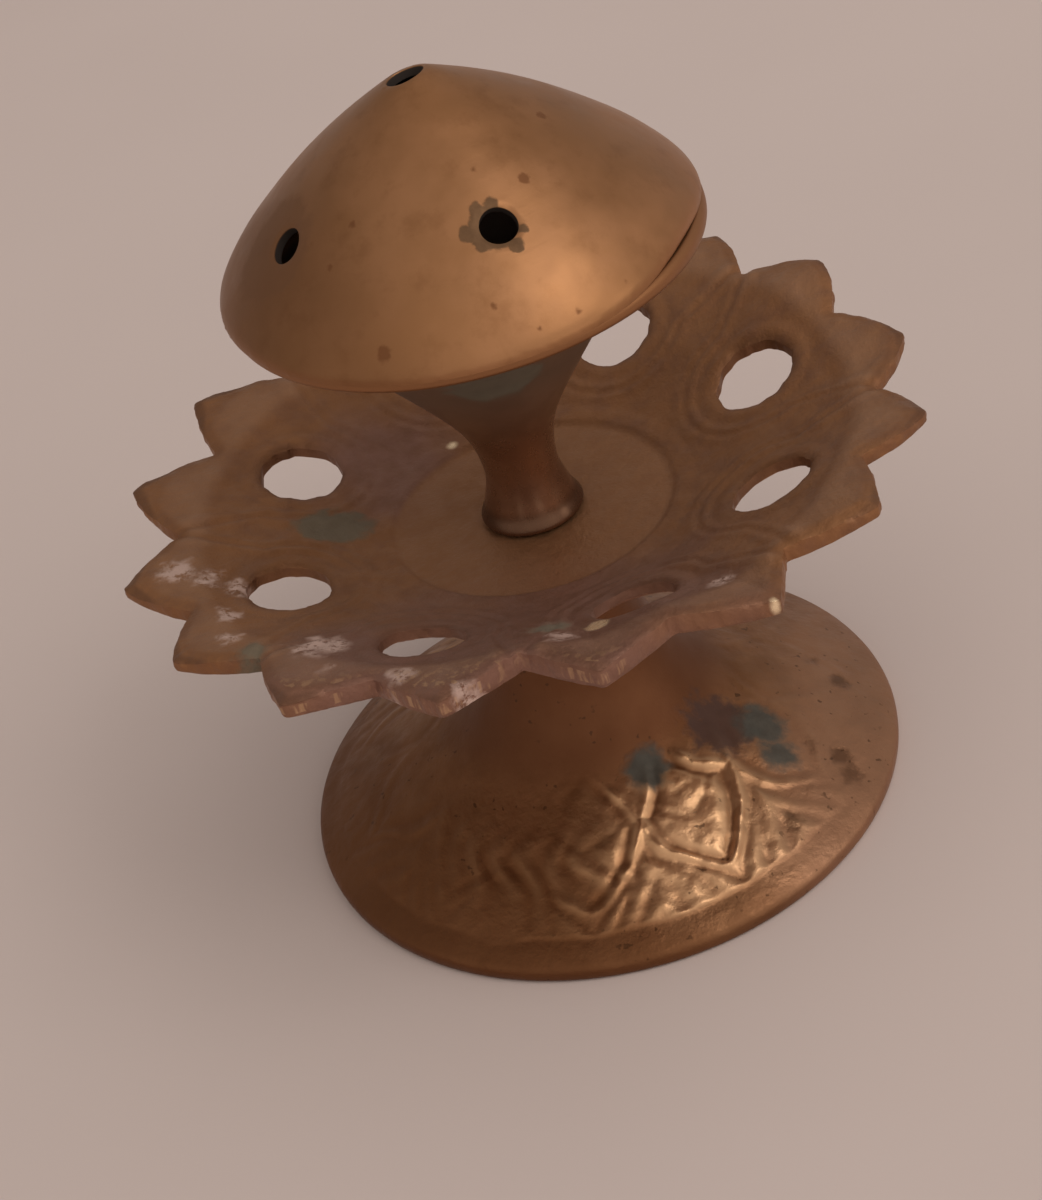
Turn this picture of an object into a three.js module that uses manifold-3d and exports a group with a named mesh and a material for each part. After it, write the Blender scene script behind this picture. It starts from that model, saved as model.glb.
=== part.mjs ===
// A brass incense burner of the kind that is turned and cast in pieces and screwed together: a pierced dome cap
// on a trumpet-shaped holder, a lotus-shaped drip tray, and a hollow bell foot. One threaded stud clamps the
// holder, the tray and the foot, with a washer and a nut inside the foot.
//
// Millimetres, +Z up, origin at the centre of the ring that the foot rests on.
import * as THREE from "three";
import { mergeVertices } from "three/addons/utils/BufferGeometryUtils.js";
import Module from "manifold-3d";

const wasm = await Module();
wasm.setup();

// Driving dimensions
const GAP = 0.3; // clearance that is left between neighbouring pieces

const FOOT_RADIUS = 30;
const FOOT_RIM_HEIGHT = 1.2;
const FOOT_WALL = 1.8;
const FOOT_NECK_RADIUS = 7;
const FOOT_SEAT_RADIUS = 9; // flange at the top of the neck, under the tray
const FOOT_BOSS_Z = 14; // underside of the solid neck, where the washer bears

const TRAY_FLOOR_Z = 33.2; // upper face of the flat middle of the tray
const TRAY_THICKNESS = 1.8;
const TRAY_RECESS_RADIUS = 13.6;
const TRAY_RIDGE = 0.7; // height of the ring round the flat middle
const TRAY_TIP_RADIUS = 37.8;
const TRAY_TIP_Z = 39.2;
const TRAY_VALLEY_RADIUS = 33.4;
const TRAY_HOLE_COUNT = 8;
const TRAY_HOLE_RADIUS = 3.85;
const TRAY_HOLE_CIRCLE = 24.5;
const TRAY_HOLE_AZIMUTH = 14.5; // degrees, of the first hole
const TRAY_TIPS_PER_HOLE = 2;

const HOLDER_BASE_RADIUS = 4.9;
const HOLDER_NECK_RADIUS = 3.5;
const HOLDER_NECK_Z = 38.6;
const HOLDER_LIP_RADIUS = 21.7;
const HOLDER_LIP_HEIGHT = 1;
const HOLDER_LIP_Z = 62.2; // shoulder that the cap rests on
const HOLDER_WALL = 1.2;
const HOLDER_COLLAR_RADIUS = 19.9; // upstand that keeps the cap from sliding sideways
const HOLDER_COLLAR_HEIGHT = 1;

const CAP_RADIUS = 21.9;
const CAP_TOP_Z = 79;
const CAP_WALL = 1;
const CAP_TOP_HOLE_RADIUS = 1.7;
const CAP_SIDE_HOLE_RADIUS = 1.65;
const CAP_SLOPE = 40; // degrees, of the cap's side where the side holes are
// The side holes were drilled by eye, so they are not a right angle apart, nor at one height. Azimuth in degrees.
const CAP_SIDE_HOLES = [
  { azimuth: -76, radius: 14.4, height: 70.45 },
  { azimuth: -158, radius: 15.3, height: 69.7 },
  { azimuth: 116, radius: 14.7, height: 70.2 },
  { azimuth: 36, radius: 14.7, height: 70.2 },
];

const STUD_RADIUS = 1.6;
const STUD_IN_HOLDER = 7.5; // length of thread inside the holder's base
const STUD_BELOW_NUT = 1.5;
const WASHER_RADIUS = 4.5;
const WASHER_THICKNESS = 0.8;
const NUT_ACROSS_FLATS = 6;
const NUT_HEIGHT = 2.6;

const FINE_SEGMENTS = 48; // round the wide pieces
const COARSE_SEGMENTS = 24; // round the stud, the washer and the nut's bore
const HOLE_SEGMENTS = 16; // round a small hole

const holderBaseZ = TRAY_FLOOR_Z + GAP;
const footSeatZ = TRAY_FLOOR_Z - TRAY_THICKNESS - GAP;
const boreRadius = STUD_RADIUS + GAP;
const washerTopZ = FOOT_BOSS_Z - GAP;
const nutTopZ = washerTopZ - WASHER_THICKNESS - GAP;
const studBottomZ = nutTopZ - NUT_HEIGHT - STUD_BELOW_NUT;
const studTopZ = holderBaseZ + STUD_IN_HOLDER;

const radians = THREE.MathUtils.degToRad;
const at = (radius, height) => new THREE.Vector2(radius, height);
const polar = (radius, angle) => new THREE.Vector2(radius * Math.cos(angle), radius * Math.sin(angle));

// A smooth run of profile points through the given ones.
function smooth(points, steps) {
  return new THREE.SplineCurve(points).getPoints(steps);
}

// The same run of profile, moved square to itself by the wall thickness, for the other face of a thin wall.
function offset(run, distance) {
  return run.map((point, i) => {
    const before = run[Math.max(i - 1, 0)];
    const after = run[Math.min(i + 1, run.length - 1)];
    const along = after.clone().sub(before).normalize();
    return at(point.x - along.y * distance, point.y + along.x * distance);
  });
}

// A body of revolution about Z from a profile of (radius, height) points that closes on itself.
function turned(profile, segments) {
  const closed = [...profile, profile[0]];
  return new THREE.LatheGeometry(closed, segments).rotateX(Math.PI / 2);
}

function solidOf(geometry) {
  const bare = geometry.clone();
  bare.deleteAttribute("normal");
  bare.deleteAttribute("uv");
  const merged = mergeVertices(bare, 1e-4);
  return new wasm.Manifold(
    new wasm.Mesh({
      numProp: 3,
      vertProperties: new Float32Array(merged.attributes.position.array),
      triVerts: new Uint32Array(merged.index.array),
    }),
  );
}

function geometryOf(solid) {
  const mesh = solid.getMesh();
  const geometry = new THREE.BufferGeometry();
  geometry.setAttribute("position", new THREE.BufferAttribute(mesh.vertProperties, 3));
  geometry.setIndex(new THREE.BufferAttribute(mesh.triVerts, 1));
  return geometry;
}

// Hollow bell foot: an edge band, a shallow dome that carries the leaf pattern, and a waisted neck with a bore.
function footGeometry() {
  const bell = smooth(
    [
      at(FOOT_RADIUS, FOOT_RIM_HEIGHT),
      at(28.4, 2.5),
      at(25.8, 3.9),
      at(20, 6.9),
      at(14, 10.2),
      at(10, 14.5),
      at(7.7, 20),
      at(FOOT_NECK_RADIUS, 25),
      at(7.5, 28.6),
    ],
    12,
  );
  const seat = [at(FOOT_SEAT_RADIUS, footSeatZ - 1.4), at(FOOT_SEAT_RADIUS, footSeatZ)];
  const bore = [at(boreRadius, footSeatZ), at(boreRadius, FOOT_BOSS_Z)];
  const underside = [at(WASHER_RADIUS + 0.6, FOOT_BOSS_Z), at(8.4, 12)];
  const hollow = offset(bell, FOOT_WALL)
    .filter((point) => point.x > 11 && point.x < FOOT_RADIUS - FOOT_WALL - 0.5)
    .reverse();
  const restingRing = [at(FOOT_RADIUS - FOOT_WALL, 0), at(FOOT_RADIUS, 0)];
  return turned([...restingRing, ...bell, ...seat, ...bore, ...underside, ...hollow], FINE_SEGMENTS);
}

// Outline of the tray: pointed petals whose sides bulge like a leaf.
function petalOutline() {
  const petals = TRAY_HOLE_COUNT * TRAY_TIPS_PER_HOLE;
  const pitch = (2 * Math.PI) / petals;
  const start = radians(TRAY_HOLE_AZIMUTH);
  const bulgeRadius = (TRAY_VALLEY_RADIUS + TRAY_TIP_RADIUS) / 2 + 0.9;
  const outline = new THREE.Shape();
  const first = polar(TRAY_VALLEY_RADIUS, start);
  outline.moveTo(first.x, first.y);
  for (let i = 0; i < petals; i++) {
    const valley = start + i * pitch;
    const rise = polar(bulgeRadius, valley + 0.22 * pitch);
    const tip = polar(TRAY_TIP_RADIUS, valley + 0.5 * pitch);
    const fall = polar(bulgeRadius, valley + 0.78 * pitch);
    const next = polar(TRAY_VALLEY_RADIUS, valley + pitch);
    outline.quadraticCurveTo(rise.x, rise.y, tip.x, tip.y);
    outline.quadraticCurveTo(fall.x, fall.y, next.x, next.y);
  }
  return outline;
}

// Cast tray: a dished disc cut to the petal outline and pierced by a ring of round holes.
function trayGeometry() {
  const top = [
    at(boreRadius, TRAY_FLOOR_Z),
    at(TRAY_RECESS_RADIUS - 0.5, TRAY_FLOOR_Z),
    at(TRAY_RECESS_RADIUS + 0.1, TRAY_FLOOR_Z + TRAY_RIDGE),
    at(TRAY_RECESS_RADIUS + 1.2, TRAY_FLOOR_Z + TRAY_RIDGE),
    at(TRAY_RECESS_RADIUS + 2, TRAY_FLOOR_Z + 0.7),
    ...smooth([at(18, 34.4), at(25, 36), at(32, 37.9), at(TRAY_TIP_RADIUS + 1, TRAY_TIP_Z + 0.3)], 6),
  ];
  const floorBottom = TRAY_FLOOR_Z - TRAY_THICKNESS;
  const bottom = [
    at(boreRadius, floorBottom),
    at(TRAY_RECESS_RADIUS + 0.6, floorBottom),
    ...top.slice(5).map((point) => at(point.x + 0.4, point.y - TRAY_THICKNESS)),
  ];
  const dish = solidOf(turned([...bottom, ...top.reverse()], FINE_SEGMENTS));
  const outline = petalOutline();
  for (let i = 0; i < TRAY_HOLE_COUNT; i++) {
    const centre = polar(TRAY_HOLE_CIRCLE, radians(TRAY_HOLE_AZIMUTH) + (i * 2 * Math.PI) / TRAY_HOLE_COUNT);
    outline.holes.push(new THREE.Path().absarc(centre.x, centre.y, TRAY_HOLE_RADIUS, 0, 2 * Math.PI, true));
  }
  const prism = new THREE.ExtrudeGeometry(outline, {
    depth: 2 * TRAY_FLOOR_Z,
    bevelEnabled: false,
    curveSegments: 8,
  });
  return geometryOf(dish.intersect(solidOf(prism)));
}

// Turned holder: a waisted stem that flares like a trumpet into a cup, threaded in its base for the stud.
function holderGeometry() {
  const flare = smooth(
    [
      at(HOLDER_BASE_RADIUS, holderBaseZ + 0.4),
      at(4.1, holderBaseZ + 2),
      at(HOLDER_NECK_RADIUS, HOLDER_NECK_Z),
      at(4.1, 42.5),
      at(5.8, 46),
      at(9.8, 51.7),
      at(12, 54.5),
      at(15.2, 57.4),
      at(18.6, 59.7),
      at(HOLDER_LIP_RADIUS - 0.4, HOLDER_LIP_Z - HOLDER_LIP_HEIGHT),
    ],
    12,
  );
  const collarTop = HOLDER_LIP_Z + HOLDER_COLLAR_HEIGHT;
  const lip = [
    at(HOLDER_LIP_RADIUS, HOLDER_LIP_Z - HOLDER_LIP_HEIGHT / 2),
    at(HOLDER_LIP_RADIUS, HOLDER_LIP_Z),
    at(HOLDER_COLLAR_RADIUS, HOLDER_LIP_Z),
    at(HOLDER_COLLAR_RADIUS, collarTop),
    at(HOLDER_COLLAR_RADIUS - 0.8, collarTop),
    at(HOLDER_COLLAR_RADIUS - 0.8, HOLDER_LIP_Z),
  ];
  const cup = offset(flare, HOLDER_WALL)
    .filter((point) => point.x > 7 && point.x < HOLDER_COLLAR_RADIUS - 1)
    .reverse();
  const cupFloor = [at(5.4, 48.3), at(0, 48.3)];
  const threadedBore = [at(0, studTopZ + GAP), at(boreRadius, studTopZ + GAP), at(boreRadius, holderBaseZ)];
  const base = [at(HOLDER_BASE_RADIUS, holderBaseZ)];
  return turned([...base, ...flare, ...lip, ...cup, ...cupFloor, ...threadedBore], FINE_SEGMENTS);
}

// Drill for one of the cap's side holes, square to the cap's slope.
function sideDrill({ azimuth, radius, height }) {
  return solidOf(
    new THREE.CylinderGeometry(CAP_SIDE_HOLE_RADIUS, CAP_SIDE_HOLE_RADIUS, 6 * CAP_WALL, HOLE_SEGMENTS)
      .rotateX(Math.PI / 2)
      .rotateY(radians(CAP_SLOPE))
      .translate(radius, 0, height)
      .rotateZ(radians(azimuth)),
  );
}

// Spun dome cap: a thin shell with a hole at its point and four holes for incense sticks round it.
function capGeometry() {
  const rimZ = HOLDER_LIP_Z + GAP;
  const outside = smooth(
    [
      at(CAP_TOP_HOLE_RADIUS, CAP_TOP_Z),
      at(5.8, 76.6),
      at(9.9, 73.9),
      at(14, 70.8),
      at(17.8, 67.5),
      at(20.2, 65.1),
      at(21.5, 63.5),
      at(CAP_RADIUS, rimZ),
    ].reverse(),
    12,
  );
  const inside = offset(outside, CAP_WALL)
    .filter((point) => point.x > CAP_TOP_HOLE_RADIUS + 0.2 && point.y > rimZ + 0.4)
    .reverse();
  const rim = [at(HOLDER_COLLAR_RADIUS + GAP, rimZ + 0.5), at(HOLDER_COLLAR_RADIUS + GAP, rimZ)];
  const topEdge = [at(CAP_TOP_HOLE_RADIUS, CAP_TOP_Z - 1.2)];
  let cap = solidOf(turned([...outside, ...topEdge, ...inside, ...rim], FINE_SEGMENTS));
  for (const hole of CAP_SIDE_HOLES) {
    cap = cap.subtract(sideDrill(hole));
  }
  return geometryOf(cap);
}

function studGeometry() {
  return new THREE.CylinderGeometry(STUD_RADIUS, STUD_RADIUS, studTopZ - studBottomZ, COARSE_SEGMENTS)
    .rotateX(Math.PI / 2)
    .translate(0, 0, (studTopZ + studBottomZ) / 2);
}

function washerGeometry() {
  const low = washerTopZ - WASHER_THICKNESS;
  return turned(
    [at(boreRadius, low), at(WASHER_RADIUS, low), at(WASHER_RADIUS, washerTopZ), at(boreRadius, washerTopZ)],
    COARSE_SEGMENTS,
  );
}

function nutGeometry() {
  const outline = new THREE.Shape();
  const corner = NUT_ACROSS_FLATS / Math.sqrt(3);
  const corners = [0, 1, 2, 3, 4, 5].map((i) => polar(corner, (i * Math.PI) / 3));
  outline.setFromPoints(corners);
  outline.holes.push(new THREE.Path().absarc(0, 0, boreRadius, 0, 2 * Math.PI, true));
  return new THREE.ExtrudeGeometry(outline, {
    depth: NUT_HEIGHT,
    bevelEnabled: false,
    curveSegments: COARSE_SEGMENTS / 2,
  }).translate(0, 0, nutTopZ - NUT_HEIGHT);
}

function piece(name, geometry, color, roughness, metalness) {
  const mesh = new THREE.Mesh(geometry, new THREE.MeshStandardMaterial({ color, roughness, metalness }));
  mesh.name = name;
  return mesh;
}

const burner = new THREE.Group();
burner.add(
  piece("foot", footGeometry(), 0x7d5a38, 0.45, 0.9),
  piece("lotus_tray", trayGeometry(), 0x7a5a4a, 0.6, 0.8),
  piece("trumpet_holder", holderGeometry(), 0x5c3a20, 0.3, 0.95),
  piece("dome_cap", capGeometry(), 0xb07f48, 0.38, 0.95),
  piece("tie_stud", studGeometry(), 0x8f8f8c, 0.4, 1),
  piece("washer", washerGeometry(), 0x9a9a96, 0.45, 1),
  piece("hex_nut", nutGeometry(), 0x93938f, 0.4, 1),
);

export default burner;
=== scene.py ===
# The looks of a brass incense burner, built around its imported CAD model: a spun dome cap on a trumpet
# shaped holder, a cast lotus tray, an embossed bell foot, and the stud, washer and nut that clamp them.
# Profiles are in millimetres, like the CAD model; meshes are in metres, in the CAD model's frame.
import math

import bpy
import numpy as np
from mathutils import Euler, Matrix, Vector, noise
from mathutils.geometry import delaunay_2d_cdt
from mathutils.kdtree import KDTree


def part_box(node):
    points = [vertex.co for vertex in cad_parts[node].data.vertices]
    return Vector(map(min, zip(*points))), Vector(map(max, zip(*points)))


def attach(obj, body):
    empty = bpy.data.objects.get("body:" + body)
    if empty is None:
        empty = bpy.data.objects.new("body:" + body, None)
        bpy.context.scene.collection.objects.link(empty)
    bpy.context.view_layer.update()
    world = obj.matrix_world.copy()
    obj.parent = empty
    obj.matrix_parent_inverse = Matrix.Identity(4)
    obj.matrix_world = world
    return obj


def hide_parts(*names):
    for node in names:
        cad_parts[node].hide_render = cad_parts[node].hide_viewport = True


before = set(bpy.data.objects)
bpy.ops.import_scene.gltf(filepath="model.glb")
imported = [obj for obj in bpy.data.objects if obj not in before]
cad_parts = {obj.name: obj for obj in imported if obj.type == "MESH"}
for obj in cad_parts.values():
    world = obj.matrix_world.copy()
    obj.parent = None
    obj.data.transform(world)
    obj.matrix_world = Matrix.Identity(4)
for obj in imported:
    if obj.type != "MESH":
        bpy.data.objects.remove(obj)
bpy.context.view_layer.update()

MM = 0.001
FULL_TURN = 2 * math.pi


# -------------------- shape helpers


def smoothstep(low, high, value):
    t = np.clip((value - low) / (high - low), 0, 1)
    return t * t * (3 - 2 * t)


def bump(value, width):
    """A rounded ridge of height 1 at value 0."""
    return np.exp(-((value / width) ** 2))


def angle_between(a, b):
    """The signed angle from b to a, between minus pi and pi."""
    return (a - b + math.pi) % FULL_TURN - math.pi


def lengths_along(points):
    """How far along a polyline each of its points is."""
    return np.concatenate([[0], np.cumsum(np.hypot(*np.diff(points, axis=0).T))])


def curve_through(points, count):
    """count points evenly along a smooth (Catmull-Rom) curve through (radius, height) points."""
    knots = np.array(points, float)
    padded = np.vstack([2 * knots[0] - knots[1], knots, 2 * knots[-1] - knots[-2]])
    dense = []
    for p0, p1, p2, p3 in zip(padded, padded[1:], padded[2:], padded[3:]):
        for t in np.linspace(0, 1, 24, endpoint=False):
            dense.append(
                0.5 * (2 * p1 + (p2 - p0) * t + (2 * p0 - 5 * p1 + 4 * p2 - p3) * t**2
                       + (3 * p1 - p0 - 3 * p2 + p3) * t**3)
            )
    dense.append(knots[-1])
    return evenly(np.array(dense), count)


def evenly(points, count):
    """count points evenly spaced along a polyline."""
    along = lengths_along(points)
    at = np.linspace(0, along[-1], count)
    return np.stack([np.interp(at, along, points[:, 0]), np.interp(at, along, points[:, 1])], axis=1)


def rounded(corners, radius, steps):
    """A polyline of (radius, height) corners with each inner corner rounded off."""
    corners = [np.array(c, float) for c in corners]
    out = [corners[0]]
    for before, corner, after in zip(corners, corners[1:], corners[2:]):
        back, on = before - corner, after - corner
        reach = min(radius, 0.45 * np.linalg.norm(back), 0.45 * np.linalg.norm(on))
        start = corner + back / np.linalg.norm(back) * reach
        end = corner + on / np.linalg.norm(on) * reach
        for t in np.linspace(0, 1, steps + 1):
            out.append((1 - t) ** 2 * start + 2 * t * (1 - t) * corner + t**2 * end)
    out.append(corners[-1])
    return np.array(out)


def offset_profile(points, distance):
    """A profile moved square to itself, to its left, by the distance."""
    along = np.gradient(points, axis=0)
    along /= np.linalg.norm(along, axis=1)[:, None]
    return points + np.stack([-along[:, 1], along[:, 0]], axis=1) * distance


def polar_point(radius, turn):
    return np.array([radius * math.cos(turn), radius * math.sin(turn)])


def polar(points):
    """The radius and azimuth of each point."""
    x, y = points[:, 0], points[:, 1]
    return np.hypot(x, y), np.arctan2(y, x)


def in_space(azimuth, radius, height):
    """Points from their azimuth, radius and height."""
    return np.stack([radius * np.cos(azimuth), radius * np.sin(azimuth), height], axis=-1)


def near_edge(distance, width):
    """1 at an edge, and 0 from width mm away."""
    return np.clip(1 - distance / width, 0, 1) ** 2


def roughness_noise(points, scale, seed):
    """Smooth noise between about -1 and 1 at each point (in mm), with features of about scale mm."""
    shift = Vector((seed * 17.3, seed * 5.1, seed * 9.7))
    values = [noise.noise(Vector(p) / scale + shift) for p in points.reshape(-1, 3)]
    return np.array(values).reshape(points.shape[:-1])


def flat_noise(flat, scale, seed):
    return roughness_noise(np.c_[flat, np.zeros(len(flat))], scale, seed)


def new_object(name, vertices, faces, smooth=True):
    mesh = bpy.data.meshes.new(name)
    mesh.from_pydata([tuple(v) for v in vertices], [], [tuple(f) for f in faces])
    mesh.validate()
    mesh.polygons.foreach_set("use_smooth", [smooth] * len(mesh.polygons))
    mesh.update()
    piece = bpy.data.objects.new(name, mesh)
    bpy.context.scene.collection.objects.link(piece)
    return piece


def profile_grid(profile, turns):
    """Azimuth, radius and height of the points of a turned profile, a row for each profile point."""
    azimuths = np.linspace(0, FULL_TURN, turns, endpoint=False)
    azimuth, radius = np.meshgrid(azimuths, profile[:, 0])
    return azimuth, radius, np.meshgrid(azimuths, profile[:, 1])[1]


def round_piece(name, azimuth, radius, height):
    """A closed body round the axis from rows of points, where the last row joins the first."""
    index = np.arange(radius.size).reshape(radius.shape)
    next_row, next_turn = np.roll(index, -1, axis=0), np.roll(index, -1, axis=1)
    faces = np.stack([index, next_turn, np.roll(next_row, -1, axis=1), next_row], axis=-1)
    vertices = in_space(azimuth, radius, height).reshape(-1, 3) * MM
    return new_object(name, vertices, faces.reshape(-1, 4))


def lathe(name, profile, turns, relief):
    """A closed body of revolution. profile is a closed loop of (radius, height) in mm, up the outside and
    down the inside; relief(azimuths, radii, heights) is how far each point moves out along its normal."""
    profile = np.array(profile, float)
    along = np.roll(profile, -1, axis=0) - np.roll(profile, 1, axis=0)
    along /= np.linalg.norm(along, axis=1)[:, None] + 1e-12
    azimuth, radius, height = profile_grid(profile, turns)
    move = relief(azimuth, radius, height)
    return round_piece(name, azimuth, radius + move * along[:, 1:], height - move * along[:, :1])


def circle_loop(centre, radius, count):
    turn = np.linspace(0, FULL_TURN, count, endpoint=False)
    return np.stack([centre[0] + radius * np.cos(turn), centre[1] + radius * np.sin(turn)], axis=1)


def inside_loop(points, loop):
    """Which of the points lie inside the closed loop."""
    x, y = points[:, 0], points[:, 1]
    result = np.zeros(len(points), bool)
    for (ax, ay), (bx, by) in zip(loop, np.roll(loop, -1, axis=0)):
        crosses = (ay > y) != (by > y)
        with np.errstate(divide="ignore", invalid="ignore"):
            result ^= crosses & (x < (bx - ax) * (y - ay) / (by - ay) + ax)
    return result


def edge_distances(points, loops):
    """How far each point of the flat pattern is from the nearest point of the loops."""
    marks = np.concatenate(loops)
    tree = KDTree(len(marks))
    for i, (x, y) in enumerate(marks):
        tree.insert((x, y, 0), i)
    tree.balance()
    return np.array([tree.find((x, y, 0))[2] for x, y in points])


def pierced_shell(name, outline, holes, spacing, top, bottom, wall_steps, edge=None):
    """A closed shell from a flat pattern. outline (counterclockwise) and holes are loops in its plane, in
    mm; top and bottom take (pattern points, distances to the nearest edge) and return points in space.
    edge(points, pattern points, share of the way down) reshapes the walls."""
    holes = [hole[::-1] for hole in holes]
    loops = [outline, *holes]
    low, high = outline.min(axis=0), outline.max(axis=0)
    xs = np.arange(low[0], high[0], spacing)
    ys = np.arange(low[1], high[1], spacing * math.sqrt(3) / 2)
    grid = np.array([(x + (spacing / 2 if row % 2 else 0), y) for row, y in enumerate(ys) for x in xs])

    def in_material(points):
        inside = inside_loop(points, outline)
        for hole in holes:
            inside &= ~inside_loop(points, hole)
        return inside

    grid = grid[in_material(grid)]
    grid = grid[edge_distances(grid, loops) > 0.55 * spacing]
    flat = np.concatenate([*loops, grid])
    starts = np.cumsum([0, *[len(loop) for loop in loops]])
    rims = [np.arange(a, b) for a, b in zip(starts, starts[1:])]
    edges = [pair for rim in rims for pair in zip(rim.tolist(), np.roll(rim, -1).tolist())]
    found = delaunay_2d_cdt([Vector(p) for p in flat], edges, [], 0, 1e-7)[2]
    triangles = np.array([face for face in found if len(face) == 3])
    triangles = triangles[in_material(flat[triangles].mean(axis=1))]
    ab = flat[triangles[:, 1]] - flat[triangles[:, 0]]
    ac = flat[triangles[:, 2]] - flat[triangles[:, 0]]
    clockwise = ab[:, 0] * ac[:, 1] - ab[:, 1] * ac[:, 0] < 0
    triangles[clockwise] = triangles[clockwise][:, ::-1]
    distance = edge_distances(flat, loops)
    upper, lower = top(flat, distance), bottom(flat, distance)
    vertices = [upper, lower]
    faces = [triangles, triangles[:, ::-1] + len(flat)]
    total = 2 * len(flat)
    for rim in rims:
        rings = [rim]
        for step in range(1, wall_steps):
            share = step / wall_steps
            between = upper[rim] * (1 - share) + lower[rim] * share
            vertices.append(between if edge is None else edge(between, flat[rim], share))
            rings.append(np.arange(total, total + len(rim)))
            total += len(rim)
        rings.append(rim + len(flat))
        for above, below in zip(rings, rings[1:]):
            quads = np.stack([above, below, np.roll(below, -1), np.roll(above, -1)], axis=1)
            faces.extend([quads[:, [0, 1, 2]], quads[:, [0, 2, 3]]])
    return new_object(name, np.concatenate(vertices) * MM, np.concatenate(faces)), flat, distance


def sharpen(piece, degrees):
    """Shades edges that are bent more than that as sharp."""
    piece.data.set_sharp_from_angle(angle=math.radians(degrees))


def crest_attribute(piece, values):
    """Keeps how far each point stands proud, in mm: the material polishes crests and dulls hollows."""
    piece.data.attributes.new("crest", "FLOAT", "POINT").data.foreach_set("value", values)


# -------------------- materials


def srgb(red, green, blue):
    """A colour given in 0..255 screen values, as the linear values that shaders use."""
    screen = (red, green, blue)
    return tuple(c / 3294.6 if c <= 10 else ((c / 255 + 0.055) / 1.055) ** 2.4 for c in screen) + (1.0,)


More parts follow.
